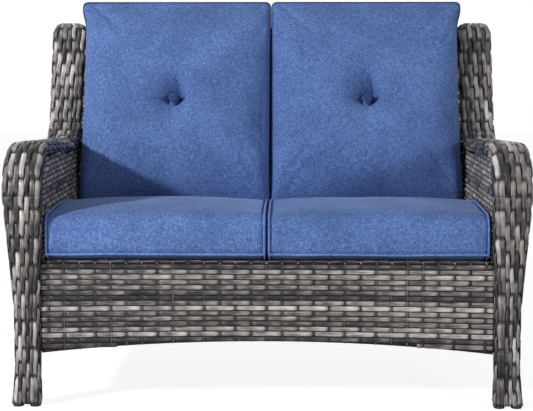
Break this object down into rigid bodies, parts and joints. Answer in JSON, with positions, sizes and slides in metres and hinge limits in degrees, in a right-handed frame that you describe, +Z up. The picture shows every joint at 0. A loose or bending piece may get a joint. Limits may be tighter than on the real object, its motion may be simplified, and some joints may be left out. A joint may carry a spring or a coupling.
{
  "type": "patio loveseat",
  "caption": "Two-seat outdoor loveseat: woven resin wicker over a bolted steel frame, rolled arms, winged back, loose blue seat and back cushions.",
  "frame": {"origin": "on the floor, under the middle of the loveseat's box", "axes": "+X to the right seen from the front, -Y to the front, +Z up"},
  "size_m": [1.29, 0.7547, 1.0137],
  "materials": {
    "woven_resin": "woven synthetic wicker strands, variegated grey and brown",
    "steel_frame": "powder coated steel tube, dark grey",
    "cushion_fabric": "woven polyester, mid blue",
    "cushion_filling": "foam slab, off white",
    "fasteners": "zinc plated steel",
    "glide_plastic": "moulded black polyethylene",
    "button_twine": "waxed polyester twine"
  },
  "bodies": {
    "root": {"apron_arch_rail": "steel_frame", "apron_struts": "steel_frame", "back_bottom_rail": "steel_frame", "back_top_rail": "steel_frame", "back_uprights": "steel_frame", "back_weave": "woven_resin", "bolts": "fasteners", "foot_glides": "glide_plastic", "front_apron_weave": "woven_resin", "left_arm_weave": "woven_resin", "left_hoop_ties": "steel_frame", "left_inner_hoop": "steel_frame", "left_inner_panel_weave": "woven_resin", "left_leg_weave": "woven_resin", "left_low_rails": "steel_frame", "left_outer_hoop": "steel_frame", "left_outer_panel_weave": "woven_resin", "left_rear_leg_tubes": "steel_frame", "left_rear_leg_weave": "woven_resin", "left_seat_rail": "steel_frame", "left_wing_weave": "woven_resin", "rear_apron_struts": "steel_frame", "rear_apron_weave": "woven_resin", "rear_low_rail": "steel_frame", "right_arm_weave": "woven_resin", "right_hoop_ties": "steel_frame", "right_inner_hoop": "steel_frame", "right_inner_panel_weave": "woven_resin", "right_leg_weave": "woven_resin", "right_low_rails": "steel_frame", "right_outer_hoop": "steel_frame", "right_outer_panel_weave": "woven_resin", "right_rear_leg_tubes": "steel_frame", "right_rear_leg_weave": "woven_resin", "right_seat_rail": "steel_frame", "right_wing_weave": "woven_resin", "seat_cross_tubes": "steel_frame", "seat_deck_weave": "woven_resin", "seat_front_rail": "steel_frame", "seat_rear_rail": "steel_frame", "seat_side_rails": "steel_frame", "threaded_inserts": "fasteners", "washers": "fasteners"},
    "left_seat_cushion": {"left_seat_cushion": "cushion_fabric", "left_seat_foam": "cushion_filling", "left_seat_piping": "cushion_fabric"},
    "left_back_cushion": {"left_back_cushion": "cushion_fabric", "left_back_piping": "cushion_fabric", "left_front_button": "cushion_fabric", "left_rear_button": "cushion_fabric", "left_tuft_twine": "button_twine"},
    "right_seat_cushion": {"right_seat_cushion": "cushion_fabric", "right_seat_foam": "cushion_filling", "right_seat_piping": "cushion_fabric"},
    "right_back_cushion": {"right_back_cushion": "cushion_fabric", "right_back_piping": "cushion_fabric", "right_front_button": "cushion_fabric", "right_rear_button": "cushion_fabric", "right_tuft_twine": "button_twine"}
  },
  "joints": [
    {"name": "left_seat_cushion_lift", "type": "slide", "parent": "root", "child": "left_seat_cushion", "axis": [0, 0, 1], "range_m": [0, 0.35]},
    {"name": "left_back_cushion_lift", "type": "slide", "parent": "left_seat_cushion", "child": "left_back_cushion", "axis": [0, 0, 1], "range_m": [0, 0.6]},
    {"name": "right_seat_cushion_lift", "type": "slide", "parent": "root", "child": "right_seat_cushion", "axis": [0, 0, 1], "range_m": [0, 0.35]},
    {"name": "right_back_cushion_lift", "type": "slide", "parent": "right_seat_cushion", "child": "right_back_cushion", "axis": [0, 0, 1], "range_m": [0, 0.6]}
  ]
}
